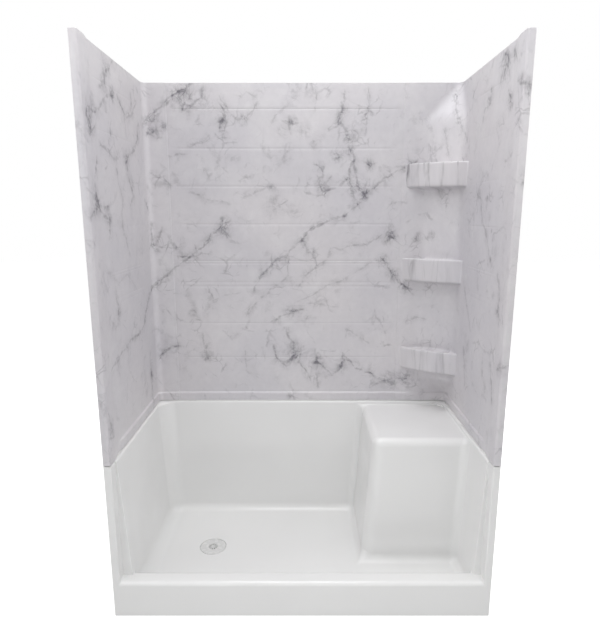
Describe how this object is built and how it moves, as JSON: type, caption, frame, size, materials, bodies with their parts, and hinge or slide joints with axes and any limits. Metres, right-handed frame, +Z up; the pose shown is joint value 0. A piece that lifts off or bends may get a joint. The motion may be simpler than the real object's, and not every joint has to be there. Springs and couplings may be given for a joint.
{
  "type": "shower surround",
  "caption": "Three-wall alcove shower surround on a deep pan with a moulded corner seat, low threshold, corner shelf tower and lift-out drain strainer.",
  "frame": {"origin": "middle of the footprint at floor level", "axes": "+Z up, the open side faces -Y, the seat and shelf tower are at +X"},
  "size_m": [1.372, 0.686, 1.981],
  "materials": {
    "pan_plastic": "smooth white gloss",
    "wall_plastic": "printed grey marble, satin gloss",
    "foam": "moulded white foam beads",
    "plywood": "raw plywood",
    "drain_plastic": "white moulded plastic",
    "black_rubber": "matt black rubber",
    "fibre": "pressed fibre",
    "sealant": "cured white silicone",
    "butyl_tape": "grey butyl tape"
  },
  "bodies": {
    "surround": {"shower_pan": "pan_plastic", "back_panel": "wall_plastic", "left_end_panel": "wall_plastic", "right_end_panel": "wall_plastic", "back_backer": "foam", "left_backer": "foam", "right_backer": "foam", "left_rim_seal": "sealant", "right_rim_seal": "sealant", "back_rim_seal": "sealant", "left_lap_tape": "butyl_tape", "right_lap_tape": "butyl_tape", "floor_support_pad": "foam", "threshold_core": "foam", "seat_board": "plywood", "seat_front_leg": "plywood", "seat_rear_leg": "plywood", "back_left_post": "plywood", "back_right_post": "plywood", "left_post": "plywood", "right_post": "plywood", "drain_body": "drain_plastic", "drain_gasket": "black_rubber", "drain_friction_washer": "fibre", "drain_locknut": "drain_plastic"},
    "strainer": {"drain_strainer": "drain_plastic"}
  },
  "joints": [
    {"name": "strainer_lift", "type": "slide", "parent": "surround", "child": "strainer", "axis": [0, 0, 1], "range_m": [0, 0.06]}
  ]
}
